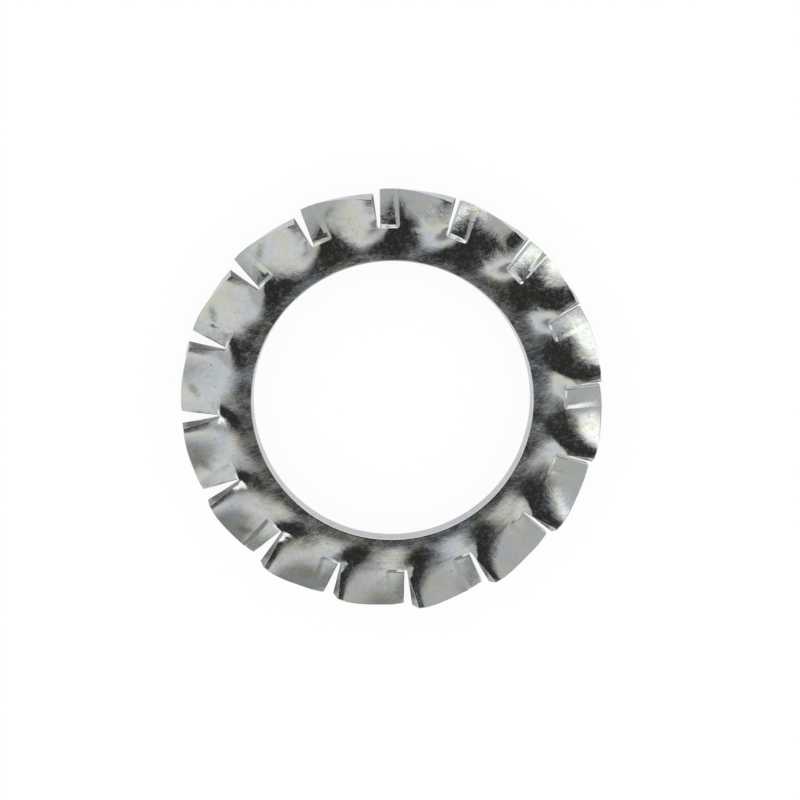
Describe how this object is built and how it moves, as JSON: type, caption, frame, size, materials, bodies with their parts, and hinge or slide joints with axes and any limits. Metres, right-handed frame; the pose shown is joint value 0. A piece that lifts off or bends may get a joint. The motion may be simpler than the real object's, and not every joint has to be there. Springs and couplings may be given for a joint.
{
  "type": "toothed lock washer",
  "caption": "Flat ring washer of plated spring steel with twisted, overlapping teeth round its outer edge that bite into a nut or screw head and stop it working loose.",
  "frame": {"origin": "on the bore's axis, in the plane on which the lowered tooth corners rest", "axes": "+Z along the bore's axis; +X through the middle of a tooth; seen from +Z each tooth rises clockwise"},
  "size_m": [0.02, 0.02, 0.0021],
  "materials": {
    "zinc_plate": "bright zinc plating over pressed spring steel, faintly pitted and scratched"
  },
  "bodies": {
    "root": {"lock_washer": "zinc_plate"}
  },
  "joints": []
}
